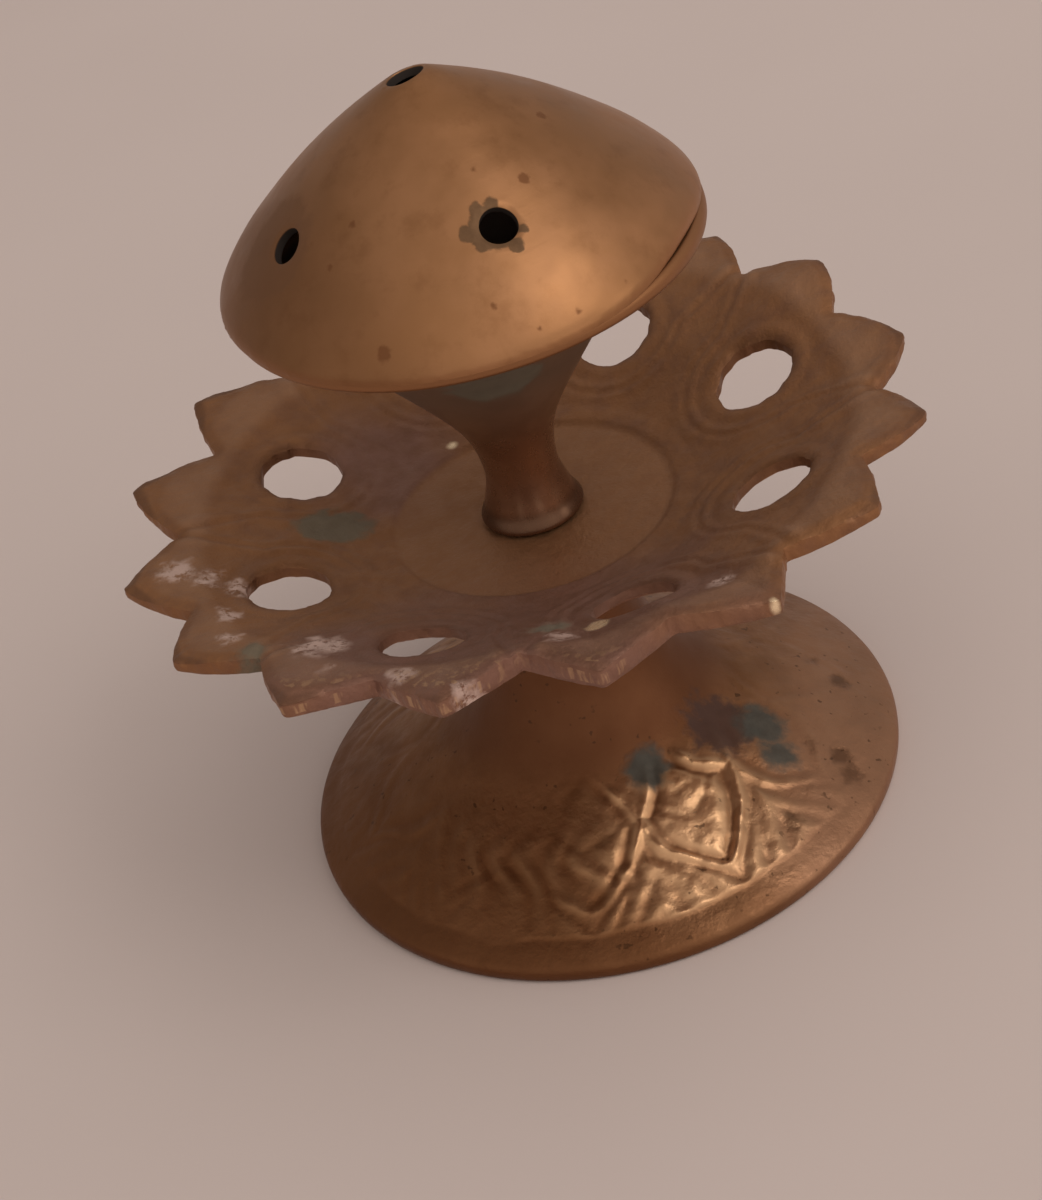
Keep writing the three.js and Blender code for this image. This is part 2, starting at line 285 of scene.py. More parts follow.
class Look:
    """A procedural material in few words: each method adds nodes and returns the last one's output."""

    def __init__(self, name):
        self.material = bpy.data.materials.new(name)
        self.material.use_nodes = True
        self.tree = self.material.node_tree
        self.tree.nodes.clear()
        metres = self.add("ShaderNodeTexCoord").outputs["Object"]
        self.place = self.vector("SCALE", metres, scale=1 / MM)

    def add(self, kind, inputs=(), **settings):
        """A node of that kind. inputs are (socket name or number, value or output socket) pairs."""
        node = self.tree.nodes.new(kind)
        for name, value in settings.items():
            setattr(node, name, value)
        for socket, value in inputs:
            self.feed(node.inputs[socket], value)
        return node

    def feed(self, socket, value):
        if isinstance(value, bpy.types.NodeSocket):
            self.tree.links.new(value, socket)
        else:
            socket.default_value = value

    def vector(self, operation, a, b=(0, 0, 0), scale=1):
        node = self.add("ShaderNodeVectorMath", [(0, a), (1, b), (3, scale)], operation=operation)
        return node.outputs["Value" if operation in ("LENGTH", "DOT_PRODUCT") else "Vector"]

    def along(self, x, y):
        """How far a place lies in the direction (x, y), in mm."""
        return self.vector("DOT_PRODUCT", self.place, (x, y, 0))

    def across(self):
        """How far a place is from the axis, in mm."""
        return self.vector("LENGTH", self.vector("MULTIPLY", self.place, (1, 1, 0)))

    def crest(self):
        """How far a place stands proud, in mm."""
        return self.add("ShaderNodeAttribute", attribute_name="crest").outputs["Fac"]

    def math(self, operation, a, b):
        return self.add("ShaderNodeMath", [(0, a), (1, b)], operation=operation).outputs[0]

    def noise(self, size, detail=4, roughness=0.55, at=None):
        """Noise from 0 to 1 with features about size mm across."""
        inputs = [("Vector", at or self.place), ("Scale", 1 / size), ("Detail", detail),
                  ("Roughness", roughness)]
        return self.add("ShaderNodeTexNoise", inputs).outputs[0]

    def ramp(self, value, low, high, start=0.0, end=1.0):
        """value taken smoothly from the range low..high to the range start..end."""
        inputs = [("Value", value), ("From Min", low), ("From Max", high),
                  ("To Min", start), ("To Max", end)]
        return self.add("ShaderNodeMapRange", inputs, interpolation_type="SMOOTHSTEP").outputs[0]

    def mix(self, share, a, b):
        """Colours a and b mixed."""
        node = self.add("ShaderNodeMix", data_type="RGBA")
        for name, kind, value in (("Factor", "VALUE", share), ("A", "RGBA", a), ("B", "RGBA", b)):
            self.feed(next(s for s in node.inputs if s.name == name and s.type == kind), value)
        return next(s for s in node.outputs if s.type == "RGBA")

    def tint(self, colour, share, strength, *tone):
        """The colour, mixed with a tone of the screen where share is 1."""
        return self.mix(self.both(share, strength), colour, srgb(*tone))

    def mottled(self, size, dark, pale):
        """Two tones of the screen in blotches about size mm across."""
        return self.mix(self.noise(size), srgb(*dark), srgb(*pale))

    def blend(self, share, a, b):
        """Numbers a and b mixed."""
        return self.math("ADD", self.math("MULTIPLY", self.math("SUBTRACT", 1.0, share), a),
                         self.math("MULTIPLY", share, b))

    def both(self, a, b):
        return self.math("MULTIPLY", a, b)

    def either(self, first, *others):
        for other in others:
            first = self.math("MAXIMUM", first, other)
        return first

    def spot(self, centre, radius, soft, ragged, stretch=(1, 1, 1), grain=1.2):
        """1 inside a ragged spot, 0 outside. centre is an azimuth in degrees, a radius and a height."""
        azimuth, out, height = centre
        centre = (*polar_point(out, math.radians(azimuth)), height)
        inputs = [("Vector", self.place), ("Scale", 1 / grain), ("Detail", 3)]
        wobble = self.add("ShaderNodeTexNoise", inputs).outputs["Color"]
        shift = self.vector("SUBTRACT", wobble, (0.5, 0.5, 0.5))
        shift = self.vector("SCALE", shift, scale=2 * ragged)
        away = self.vector("SUBTRACT", self.vector("ADD", self.place, shift), centre)
        distance = self.vector("LENGTH", self.vector("MULTIPLY", away, stretch))
        return self.ramp(distance, radius - soft, radius + soft, 1.0, 0.0)

    def finish(self, colour, metallic, roughness, bumps):
        """Closes the material. bumps are (height, distance in mm) pairs."""
        normal = None
        for height, distance in bumps:
            inputs = [("Height", height), ("Distance", distance * MM), ("Strength", 1.0)]
            if normal is not None:
                inputs.append(("Normal", normal))
            normal = self.add("ShaderNodeBump", inputs).outputs[0]
        inputs = [("Base Color", colour), ("Metallic", metallic), ("Roughness", roughness),
                  ("Normal", normal)]
        surface = self.add("ShaderNodeBsdfPrincipled", inputs)
        self.add("ShaderNodeOutputMaterial", [("Surface", surface.outputs[0])])
        return self.material


# -------------------- foot

FOOT_TURNS = 620
FOOT_WALL = 1.8
FOOT_PETALS = 11
FOOT_PETAL_AZIMUTH = math.radians(-69)
FOOT_PETAL_TIP = 25.4  # radius of the front petals' tips
FOOT_PETAL_CROSSING = 18.0  # radius where neighbouring petals' edges cross
FOOT_BAND_INNER = 13.7
FOOT_BAND_OUTER = 27.2
# azimuth in degrees and the share of the relief that is left there
FOOT_WEAR = [(-180, 0.12), (-150, 0.28), (-120, 0.36), (-102, 0.6), (-85, 0.95), (-60, 1), (-52, 0.62),
             (-46, 0.34), (-36, 0.14), (0, 0.08), (45, 0.12), (90, 0.4), (130, 0.5), (160, 0.2)]
FOOT_BELL_ROWS = 205  # rows of the profile that lie on the outside of the bell


def foot_wear(azimuth, radius):
    """The share of the leaf relief left: crisp in front, faint at the left, rubbed off at the right."""
    degrees, left_over = zip(*FOOT_WEAR)
    wear = np.interp(np.degrees(azimuth), degrees, left_over, period=360)
    left = bump(angle_between(azimuth, math.radians(-145)), 0.75)
    return wear * (1 - 0.9 * left * smoothstep(20.5, 17, radius))


def foot_relief(azimuth, radius, height):
    """Two rows of lotus leaves, chased by hand: kite-shaped front ones between crossing ridges, and back
    ones with slanting lobes below the crossings. At the left only faint strokes are left of them."""
    points = in_space(azimuth, radius, height)
    lump, grains = roughness_noise(points, 1.7, 53), roughness_noise(points, 0.9, 54)
    azimuth = azimuth + 1.1 * roughness_noise(points, 4.5, 51) / radius
    radius = radius + 0.8 * roughness_noise(points, 5.0, 52)
    half_pitch = math.pi / FOOT_PETALS
    offset = np.abs((azimuth - FOOT_PETAL_AZIMUTH + half_pitch) % (2 * half_pitch) - half_pitch)
    slope = half_pitch / (FOOT_PETAL_TIP - FOOT_PETAL_CROSSING)
    bulge = 0.035 * np.sin(np.clip((FOOT_PETAL_TIP - radius) / 7.4, 0, 1) * math.pi)
    ridge_at = (FOOT_PETAL_TIP - radius) * slope + bulge
    square = radius / np.sqrt(1 + (radius * slope) ** 2)
    to_own = (offset - ridge_at) * square
    to_next = (offset - (2 * half_pitch - ridge_at)) * square
    below_tip = smoothstep(FOOT_PETAL_TIP + 0.3, FOOT_PETAL_TIP - 0.4, radius)
    lattice = np.maximum(bump(to_own, 0.45) * below_tip, bump(to_next, 0.45)) * (0.85 + 0.8 * lump)
    front = np.minimum(-to_own, -to_next)
    in_front = (front > 0) & (radius < FOOT_PETAL_TIP)
    midway = (half_pitch - offset) * radius
    heart = 0.42 * smoothstep(0.9, 2.3, front) - 0.26 * bump(front - 0.95, 0.45)
    across_heart = FOOT_PETAL_TIP - radius - 5.6 - 0.7 * offset * radius
    heart -= 0.2 * bump(across_heart, 0.5) * smoothstep(0.8, 1.6, front)
    back = np.maximum(to_own, 0)
    lobes = np.sin((radius - 1.2 * midway) / 3.1 * FULL_TURN)
    leaf = 0.08 + 0.15 * lobes * smoothstep(0.5, 1.4, back) - 0.22 * bump(back - 0.9, 0.45)
    leaf += 0.14 * bump(midway, 0.5)
    scale = 0.16 * smoothstep(0.3, 1.4, np.minimum(to_own, half_pitch * radius - midway))
    field = np.where(in_front, heart, np.where(radius > FOOT_PETAL_CROSSING, leaf, scale)) + 0.2 * lump
    inside = smoothstep(FOOT_BAND_INNER - 0.2, FOOT_BAND_INNER + 1.4, radius)
    inside *= smoothstep(FOOT_BAND_OUTER + 0.15, FOOT_BAND_OUTER - 0.25, radius)
    wear = foot_wear(azimuth, radius)
    ground = 0.14 * wear * smoothstep(FOOT_BAND_OUTER + 0.2, FOOT_BAND_OUTER - 0.1, radius)
    ground *= smoothstep(FOOT_BAND_INNER, FOOT_BAND_INNER + 3, radius)
    faint = bump(angle_between(azimuth, math.radians(-120)), 0.4)
    strokes = np.sin(46 * azimuth + 3 * np.sin(0.7 * radius)) * bump(radius - 21.5, 3.2)
    cut = (0.32 * lattice + 0.7 * field) * (1 - 0.75 * faint) + 0.3 * strokes * faint
    return (cut + 0.07 * grains * wear) * wear * inside + ground


def foot_profile():
    bell = curve_through([(28.5, 2.45), (25.8, 3.9), (20, 6.9), (14, 10.2), (10, 14.5), (7.7, 20), (7, 25),
                          (7.5, 28.6)], 200)
    rim = rounded([(28.3, 0.0), (29.9, 0.0), (30.0, 1.5), (28.5, 2.45)], radius=0.7, steps=5)
    seat = rounded([(7.5, 28.6), (9, 29.7), (9, 31.1), (1.9, 31.1)], radius=0.5, steps=4)
    bore = [(1.9, 31.1), (1.9, 22), (1.9, 14)]
    underside = [(3.5, 14), (5.1, 14), (7.0, 13), (8.4, 12)]
    inner = offset_profile(bell, FOOT_WALL)
    hollow = evenly(inner[(inner[:, 0] > 10.5) & (inner[:, 0] < 27.4)], 36)[::-1]
    return np.concatenate([rim[:-1], bell[:-1], seat[1:-1], bore, underside, hollow])


def make_foot():
    profile = foot_profile()
    azimuth, radius, height = profile_grid(profile, FOOT_TURNS)
    carved = np.zeros(radius.shape)
    bell = slice(0, FOOT_BELL_ROWS)
    carved[bell] = foot_relief(azimuth[bell], radius[bell], height[bell])
    cast = roughness_noise(in_space(azimuth, radius, height), 3.1, 4) * 0.05
    moved = (carved + cast) * smoothstep(30.2, 29.0, radius) * (radius > 2.5)
    piece = lathe("foot_embossed", profile, FOOT_TURNS, lambda *_: moved)
    crest_attribute(piece, carved.reshape(-1))
    return piece


# -------------------- tray

TRAY_THICKNESS = 1.45
TRAY_FRONT_THICKNESS = 2.3
TRAY_SPACING = 0.34
TRAY_HOLES = 8
TRAY_HOLE_RADIUS = 3.85
TRAY_HOLE_CIRCLE = 24.5
TRAY_HOLE_AZIMUTH = math.radians(14.5)
TRAY_PETALS = 16
# each leaf, counted from the notch at TRAY_HOLE_AZIMUTH: radius of the notch before it, radius of its tip,
# how far the tip leans (of a pitch), and how far its sides bulge
TRAY_LEAVES = [
    (33.4, 37.1, 0.0, 0.9), (32.4, 37.5, -0.04, 0.9), (33.4, 37.7, -0.02, 1.0), (33.4, 38.0, 0.0, 1.0),
    (33.4, 38.6, 0.03, 0.8), (33.4, 39.9, 0.05, 0.7), (33.4, 39.7, -0.02, 0.7), (33.3, 38.8, 0.02, 0.5),
    (33.4, 38.2, 0.0, 0.4), (33.0, 38.6, 0.08, -0.1), (33.2, 37.3, 0.04, -0.4), (31.9, 36.8, -0.04, -0.3),
    (33.3, 37.0, 0.12, 0.1), (32.3, 37.8, 0.0, 0.4), (33.2, 38.0, 0.0, 0.9), (33.2, 37.7, -0.02, 0.7)]
TRAY_BORE_RADIUS = 1.9
TRAY_FRONT_AZIMUTH = math.radians(262)  # where the tray is thickest
TRAY_UNDERSIDE = 31.4  # height of its flat underside
# azimuth in degrees and how far the edge is bent up there
TRAY_WARP = [(0, 0.6), (25, 2.6), (60, 1.2), (110, 0.8), (150, -0.1), (185, -0.5), (205, 0.2), (225, 1.9),
             (250, 2.5), (262, 3.5), (273, 2.3), (285, 3.0), (298, 1.2), (308, 2.0), (330, 2.5), (345, 1.0),
             (360, 0.6)]


def tray_outline():
    """Sixteen leaf-shaped tips; the ones at the front are worn and filed straight."""
    pitch = FULL_TURN / TRAY_PETALS
    points = []
    for number, (notch, tip, lean, bulge) in enumerate(TRAY_LEAVES):
        valley = TRAY_HOLE_AZIMUTH + number * pitch
        next_notch = TRAY_LEAVES[(number + 1) % TRAY_PETALS][0]
        sides = [(notch + tip) / 2 + bulge, (next_notch + tip) / 2 + bulge]
        corners = [(notch, 0), (sides[0], 0.22), (tip, 0.5 + lean), (sides[1], 0.78), (next_notch, 1)]
        turns = [(radius, valley + share * pitch) for radius, share in corners]
        corner = [polar_point(radius, turn) for radius, turn in turns]
        for a, b, c in (corner[:3], corner[2:]):
            for t in np.linspace(0, 1, 24, endpoint=False):
                points.append((1 - t) ** 2 * a + 2 * t * (1 - t) * b + t**2 * c)
    points = evenly(np.array([*points, points[0]]), 1100)[:-1]
    for _ in range(2):
        points = (np.roll(points, 1, axis=0) + 2 * points + np.roll(points, -1, axis=0)) / 4
    wobble = flat_noise(points, 1.6, 1) * 0.14 + flat_noise(points, 0.6, 2) * 0.05
    return points * (1 + wobble / np.hypot(*points.T))[:, None]


def tray_hole_loops():
    loops = []
    for number in range(TRAY_HOLES):
        centre = polar_point(TRAY_HOLE_CIRCLE, TRAY_HOLE_AZIMUTH + number * FULL_TURN / TRAY_HOLES)
        loop = circle_loop(centre, TRAY_HOLE_RADIUS, 72)
        rough = flat_noise(loop, 1.3, 3) * 0.22 + flat_noise(loop, 0.5, 5) * 0.06
        loops.append(loop + (loop - centre) * (rough / TRAY_HOLE_RADIUS)[:, None])
    return loops


def tray_dish(radius):
    """Height of the plain dish, without relief."""
    knots = [(0, 33.2), (13.2, 33.2), (13.9, 33.65), (14.9, 33.8), (15.8, 33.85), (18, 34.4), (25, 36),
             (32, 37.9), (38.8, 39.5)]
    radii, heights = zip(*knots)
    return np.interp(radius, radii, heights)


def tray_warp(azimuth, radius):
    """The dish was bent in use: up at the front, down at the left."""
    degrees, lift = zip(*TRAY_WARP)
    at_tip = np.interp(np.degrees(azimuth) % 360, degrees, lift, period=360)
    belly = 0.5 * smoothstep(17, 24, radius) * smoothstep(36, 28, radius)
    return at_tip * smoothstep(14, 36, radius) + belly


def tray_relief(flat, distance):
    """Rings round each hole that open outward, and a border inside each leaf tip."""
    radius, azimuth = polar(flat)
    pitch = FULL_TURN / TRAY_HOLES
    from_hole = (azimuth - TRAY_HOLE_AZIMUTH + pitch / 2) % pitch - pitch / 2
    outward = radius * np.cos(from_hole) - TRAY_HOLE_CIRCLE
    across = np.abs(radius * np.sin(from_hole))
    round_hole = np.hypot(across, outward)
    ring = np.where(outward < 0, round_hole, across / (1 + 0.11 * outward))
    fade = smoothstep(9.5, 5.5, outward)
    relief = 0.04 * bump(round_hole - 4.9, 0.7) - 0.15 * smoothstep(1.0, 0.1, distance) * (radius < 30)
    relief -= 0.08 * bump(round_hole - 5.9, 0.5)
    relief += 0.2 * bump(ring - 6.6, 0.55) * fade * smoothstep(13.8, 15.2, radius)
    relief += 0.15 * bump(ring - 7.9, 0.5) * fade * smoothstep(14.6, 16, radius)
    relief -= 0.08 * bump(ring - 7.2, 0.35) * fade
    tips = smoothstep(29.5, 32.5, radius)
    relief += (0.32 * smoothstep(0.1, 1.5, distance) + 0.12 * smoothstep(1.5, 4, distance)) * tips
    return relief - 0.35 * smoothstep(35, 38, radius)


def make_tray():
    outline, holes = tray_outline(), tray_hole_loops()
    bore = circle_loop((0, 0), TRAY_BORE_RADIUS, 40)

    def skin(flat, height, seed, rough):
        radius, azimuth = polar(flat)
        outer = smoothstep(13.5, 16, radius)
        height = height + tray_warp(azimuth, radius)
        dents = 0.10 * flat_noise(flat, 3.6, seed) + 0.05 * flat_noise(flat, 1.3, seed + 1)
        height += dents * (0.25 + 0.75 * outer) * rough
        height += 0.025 * flat_noise(flat, 0.55, seed + 2) * rough
        return np.c_[flat, height]

    def top(flat, distance):
        height = tray_dish(polar(flat)[0]) + tray_relief(flat, distance)
        return skin(flat, height - 0.18 * near_edge(distance, 0.4), 11, 1)

    def bottom(flat, distance):
        radius, azimuth = polar(flat)
        front = bump(angle_between(azimuth, TRAY_FRONT_AZIMUTH), 0.85)
        thicker = (TRAY_FRONT_THICKNESS - TRAY_THICKNESS) * front * smoothstep(30, 33, radius)
        dish = tray_dish(radius - 0.4) - (TRAY_THICKNESS + thicker)
        under = np.where(radius < 14.6, TRAY_UNDERSIDE, np.maximum(dish, TRAY_UNDERSIDE))
        return skin(flat, under + 0.2 * near_edge(distance, 0.5), 21, 0.6 * (radius > 9.6))

    def edge(points, flat, share):
        """File marks down the walls."""
        radius = polar(points)[0]
        marks = 0.2 * roughness_noise(points * (1.5, 1.5, 0.3), 1.0, 31)
        swell = 0.1 * math.sin(math.pi * share) * (radius > 30)
        outward = points[:, :2] / radius[:, None]
        points = points.copy()
        points[:, :2] += outward * (marks * (radius > 15) + swell)[:, None]
        return points

    piece, flat, distance = pierced_shell(
        "lotus_tray_cast", outline, [bore, *holes], TRAY_SPACING, top, bottom, 5, edge)
    crest = np.zeros(len(piece.data.vertices))
    crest[: len(flat)] = tray_relief(flat, distance)
    walls = np.array([v.co for v in piece.data.vertices[2 * len(flat) :]]) / MM
    # The walls of the holes and bore get -0.5 so that the material darkens them: painted shade. The outer
    # walls get 0.12 for their filed marks.
    crest[2 * len(flat) :] = np.where(polar(walls)[0] > 30, 0.12, -0.5)
    crest_attribute(piece, crest)
    sharpen(piece, 42)
    return piece


# -------------------- holder

HOLDER_WALL = 1.2
HOLDER_TURNS = 192


def make_holder():
    flare = curve_through([(4.8, 34.1), (4.2, 35.4), (3.5, 38.6), (4.1, 42.5), (5.8, 46), (9.8, 51.7),
                           (12, 54.5), (15.2, 57.4), (18.6, 59.7), (21.0, 61.05)], 130)
    base = rounded([(1.9, 33.5), (4.9, 33.5), (4.95, 33.8), (4.8, 34.1)], radius=0.14, steps=3)
    lip = rounded([(21.0, 61.05), (21.4, 61.35), (21.35, 62.1), (19.9, 62.1), (19.9, 63.2), (19.1, 63.2),
                   (18.9, 61.4)], radius=0.3, steps=4)
    inner = offset_profile(flare, HOLDER_WALL)
    cup = evenly(inner[(inner[:, 0] > 5.6) & (inner[:, 0] < 18.6)], 50)[::-1]
    floor = [(5.2, 48.35), (4, 48.3), (2, 48.3), (0.01, 48.3)]
    bore = [(0.01, 41.3), (1.9, 41.3), (1.9, 37.4)]
    profile = np.concatenate([base, flare[1:-1], lip, cup, floor, bore])

    def relief(azimuth, radius, height):
        dents = 0.05 * np.sin(2 * azimuth + 0.4) * smoothstep(50, 60, height) * (radius > 6)
        right = bump(angle_between(azimuth, math.radians(-22)), 0.65)
        return dents + 0.55 * right * smoothstep(19.9, 21.3, radius) * smoothstep(59, 61, height)

    return lathe("trumpet_holder_turned", profile, HOLDER_TURNS, relief)


# -------------------- cap

CAP_WALL = 1.0
CAP_TOP_HOLE_RADIUS = 1.8
CAP_HOLE_RADIUS = 1.65
CAP_HOLES = [(-76, 14.4), (-158, 15.3), (116, 14.7), (36, 14.7)]  # azimuth in degrees, radius
CAP_TOP_HOLE_SHIFT = (-0.7, 0.5)
CAP_RIM_Z = 62.5
CAP_SPACING = 0.42
CAP_SLIT_AZIMUTH = math.radians(-28)  # where the rim is bent up
CAP_PRESS_AZIMUTH = math.radians(-33)  # where the rim is bent in


def cap_profile():
    """The dome's outside, from where it would meet the axis down to its rim."""
    knots = [(0.0, 79.55), (1.7, 79.0), (5.8, 76.6), (9.9, 73.9), (14, 70.8), (17.8, 67.5), (20.2, 65.1),
             (21.5, 63.5), (21.9, CAP_RIM_Z)]
    return curve_through(knots, 400)


def make_cap():
    profile = cap_profile()
    along = lengths_along(profile)
    slopes = np.gradient(profile, axis=0)
    slopes /= np.linalg.norm(slopes, axis=1)[:, None]

    def place(flat, depth):
        """Points of the flat pattern, whose radius is the way along the dome, at a depth in it."""
        arc, azimuth = polar(flat)
        arc = np.clip(arc, 0, along[-1])
        out_r, out_z = -np.interp(arc, along, slopes[:, 1]), np.interp(arc, along, slopes[:, 0])
        radius = np.interp(arc, along, profile[:, 0]) - depth * out_r
        height = np.interp(arc, along, profile[:, 1]) - depth * out_z
        return in_space(azimuth, radius, height)

    outline = circle_loop((0, 0), along[-1], 400)
    top_hole = np.interp(CAP_TOP_HOLE_RADIUS, profile[:, 0], along)
    holes = [circle_loop(CAP_TOP_HOLE_SHIFT, top_hole, 48)]
    for degrees, radius in CAP_HOLES:
        turn = np.linspace(0, FULL_TURN, 56, endpoint=False)
        arc = np.interp(radius, profile[:, 0], along) + CAP_HOLE_RADIUS * np.cos(turn)
        side = math.radians(degrees) + CAP_HOLE_RADIUS * np.sin(turn) / radius
        holes.append(np.stack([arc * np.cos(side), arc * np.sin(side)], axis=1))

    def top(flat, distance):
        dents = 0.05 * flat_noise(flat, 9, 41) + 0.012 * flat_noise(flat, 3, 42)
        return seam(place(flat, 0.12 * near_edge(distance, 0.3) - dents), flat)

    def bottom(flat, distance):
        return seam(place(flat, CAP_WALL - 0.1 * near_edge(distance, 0.3)), flat)

    def seam(points, flat):
        """The rim sits down on the holder's lip, but at the right it is bent up and in a little."""
        azimuth = polar(points)[1]
        near_rim = smoothstep(along[-1] - 6, along[-1], polar(flat)[0])
        lifted = bump(angle_between(azimuth, CAP_SLIT_AZIMUTH), 0.34)
        pressed = bump(angle_between(azimuth, CAP_PRESS_AZIMUTH), 0.36)
        points = points.copy()
        points[:, :2] *= (1 - 0.03 * near_rim * pressed)[:, None]
        points[:, 2] += near_rim * (0.35 * lifted - 0.32 * (1 - lifted))
        points[:, 2] = np.maximum(points[:, 2], CAP_RIM_Z - 0.35)
        return points

    piece, flat, _ = pierced_shell("dome_cap_spun", outline, holes, CAP_SPACING, top, bottom, 4)
    inner = np.full(len(piece.data.vertices), -1.0)
    inner[: len(flat)] = 0
    crest_attribute(piece, inner)
    sharpen(piece, 50)
    return piece


# -------------------- stud, washer and nut

STUD_RADIUS = 1.6
STUD_PITCH = 0.7
STUD_TURNS = 40
WASHER_BORE_RADIUS = 1.9
WASHER_RADIUS = 4.5
WASHER_TURNS = 96
NUT_TURNS = 180
NUT_ACROSS_FLATS = 6.0
NUT_BORE_RADIUS = 1.68
NUT_SINK_RADIUS = 1.95
NUT_SINK_DEPTH = 0.35
NUT_CHAMFER_SLOPE = 0.58
NUT_RING_SHARES = (0.25, 0.5, 0.75, 1.0)  # of the way from the chamfer to the hexagon


def make_stud(low, high):
    rows_per_turn = 8
    rows = int((high - low) / STUD_PITCH * rows_per_turn)
    heights = np.linspace(low + 0.05, high - 0.05, rows)
    profile = [(0.01, low), (STUD_RADIUS - 0.4, low), *[(STUD_RADIUS, z) for z in heights],
               (STUD_RADIUS - 0.4, high), (0.01, high)]

    def thread(azimuth, radius, height):
        phase = (height / STUD_PITCH - azimuth / FULL_TURN) % 1
        depth = -0.36 * (1 - np.abs(2 * phase - 1))
        ends = smoothstep(low, low + 0.6, height) * smoothstep(high, high - 0.6, height)
        return np.where(radius > STUD_RADIUS - 0.1, depth * ends - 0.3 * (1 - ends), 0)

    return lathe("tie_stud_threaded", profile, STUD_TURNS, thread)


def make_washer(low, high):
    bore, rim = WASHER_BORE_RADIUS, WASHER_RADIUS
    corners = [(bore, low + 0.4), (bore, low), (rim, low), (rim, high), (bore, high), (bore, high - 0.3)]
    profile = rounded(corners, 0.2, 4)

    def relief(azimuth, radius, height):
        return 0.03 * np.sin(2 * azimuth) * (radius > 2.2)

    return lathe("washer_pressed", profile, WASHER_TURNS, relief)


def make_nut(low, high):
    """A hexagon nut with both faces chamfered and a countersunk bore."""
    azimuth = np.linspace(0, FULL_TURN, NUT_TURNS, endpoint=False)
    sector = FULL_TURN / 6
    hexagon = NUT_ACROSS_FLATS / 2 / np.cos((azimuth % sector) - sector / 2)
    hexagon = np.minimum(hexagon, NUT_ACROSS_FLATS / 2 / math.cos(sector / 2) - 0.06)
    chamfer = NUT_ACROSS_FLATS / 2 - 0.1
    outer = [chamfer + (hexagon - chamfer) * share for share in NUT_RING_SHARES]
    rise = [(ring - chamfer) * NUT_CHAMFER_SLOPE for ring in outer]
    bore = [np.full(NUT_TURNS, radius) for radius in (NUT_BORE_RADIUS, NUT_SINK_RADIUS, chamfer)]
    rings = np.array([*bore, *outer, *outer[::-1], *bore[::-1]])
    below = [np.full(NUT_TURNS, height) for height in (low + NUT_SINK_DEPTH, low, low)]
    above = [np.full(NUT_TURNS, height) for height in (high, high, high - NUT_SINK_DEPTH)]
    lower = [low + step + 0.01 for step in rise]
    upper = [high - step - 0.01 for step in rise[::-1]]
    levels = np.array([*below, *lower, *upper, *above])
    nut = round_piece("hex_nut_chamfered", azimuth, rings, levels)
    sharpen(nut, 25)
    return nut


# -------------------- finishes


def fine_bumps(look, grain, depth):
    return (look.noise(grain, 3, 0.6), depth)


# azimuth, radius and size of small dark pits low on the foot
FOOT_PITS = [(-33, 27.2, 1.2), (-30, 25.6, 1.1), (-30, 22.4, 1.0), (2, 22.5, 0.9), (-52, 25.4, 0.8)]


